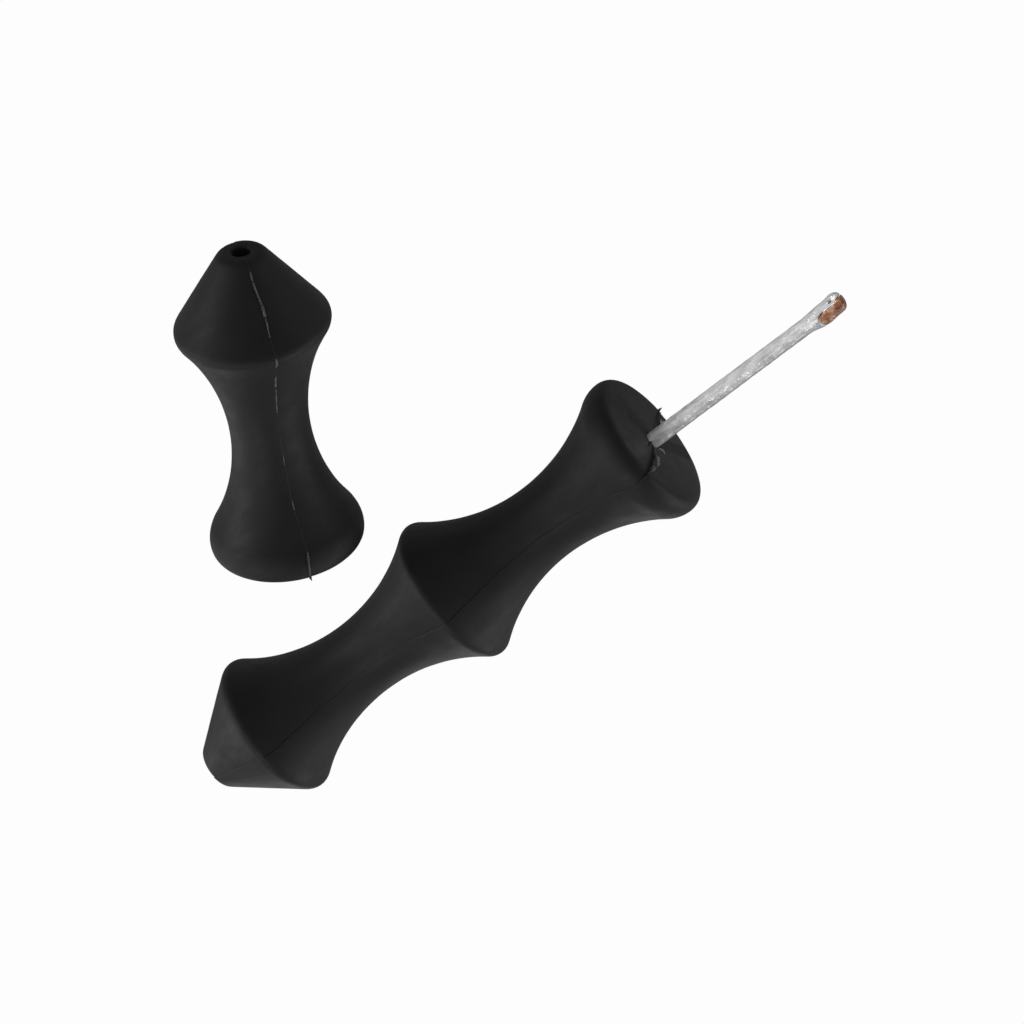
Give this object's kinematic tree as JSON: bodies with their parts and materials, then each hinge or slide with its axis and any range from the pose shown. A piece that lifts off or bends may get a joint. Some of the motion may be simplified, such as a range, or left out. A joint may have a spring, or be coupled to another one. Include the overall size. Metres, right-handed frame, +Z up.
{
  "type": "bowstring finger grip set",
  "caption": "Black silicone bowstring grips, ridged spools with a cone end and a through bore, with a silver threading needle standing in the longer one.",
  "frame": {"origin": "middle of the floor area that the set covers, on the floor", "axes": "+X along the long grip's bore towards the needle's head, +Y towards the short grip, +Z up"},
  "size_m": [0.086, 0.0534, 0.0162],
  "materials": {
    "silicone": "matte moulded silicone, black",
    "needle_steel": "tinned steel, mottled silver, semi-gloss",
    "braze": "glossy copper-brown braze"
  },
  "bodies": {
    "long_grip_body": {"long_grip": "silicone"},
    "needle_body": {"needle": "needle_steel", "tip_bead": "braze"},
    "short_grip_body": {"short_grip": "silicone"}
  },
  "joints": [
    {"name": "needle_slide", "type": "slide", "parent": "long_grip_body", "child": "needle_body", "axis": [1, 0, 0], "range_m": [-0.02, 0.045]},
    {"name": "short_grip_lift", "type": "slide", "parent": "long_grip_body", "child": "short_grip_body", "axis": [0, 0, 1], "range_m": [0, 0.05]}
  ]
}
